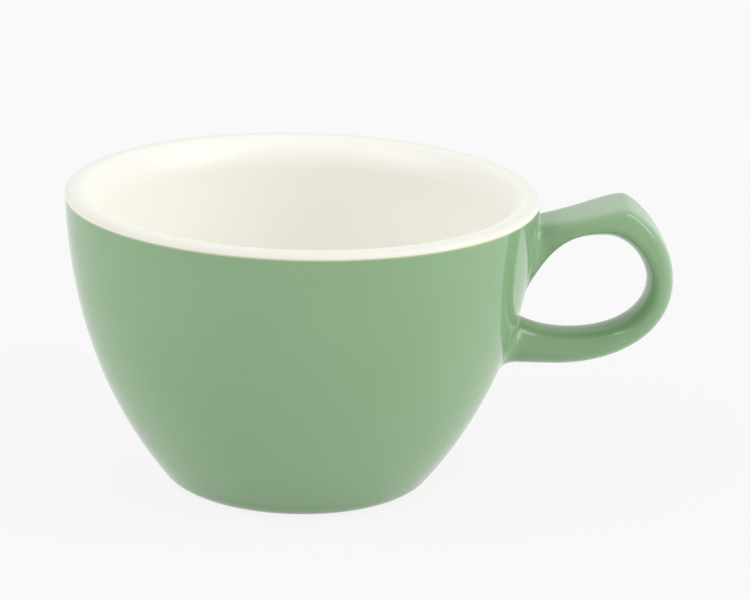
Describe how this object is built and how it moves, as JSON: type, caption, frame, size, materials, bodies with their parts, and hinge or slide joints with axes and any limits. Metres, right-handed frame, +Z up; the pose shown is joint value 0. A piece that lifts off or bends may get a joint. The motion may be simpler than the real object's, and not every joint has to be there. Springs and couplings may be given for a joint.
{
  "type": "coffee cup",
  "caption": "Thick-walled glazed coffee cup, green outside and white inside, with a rounded base, a broad lip and a loop handle that rises to a thumb rest.",
  "frame": {"origin": "on the table plane under the cup, at the middle of its whole length with the handle, so the bowl's own axis lies 13.7 mm towards -X", "axes": "+Z up out of the mouth, +X along the handle, +Y across the handle"},
  "size_m": [0.1222, 0.0948, 0.0605],
  "materials": {
    "white_clay": "fired stoneware clay, left bare on the foot ring",
    "slip": "fired slip of the same clay, hidden under the glaze",
    "white_glaze": "glossy warm white glaze",
    "green_glaze": "glossy pale sage green glaze"
  },
  "bodies": {
    "root": {"bowl_body": "white_clay", "handle_body": "white_clay", "upper_slip_joint": "slip", "lower_slip_joint": "slip", "inside_glaze": "white_glaze", "outside_glaze": "green_glaze", "underside_glaze": "green_glaze", "handle_glaze": "green_glaze"}
  },
  "joints": []
}
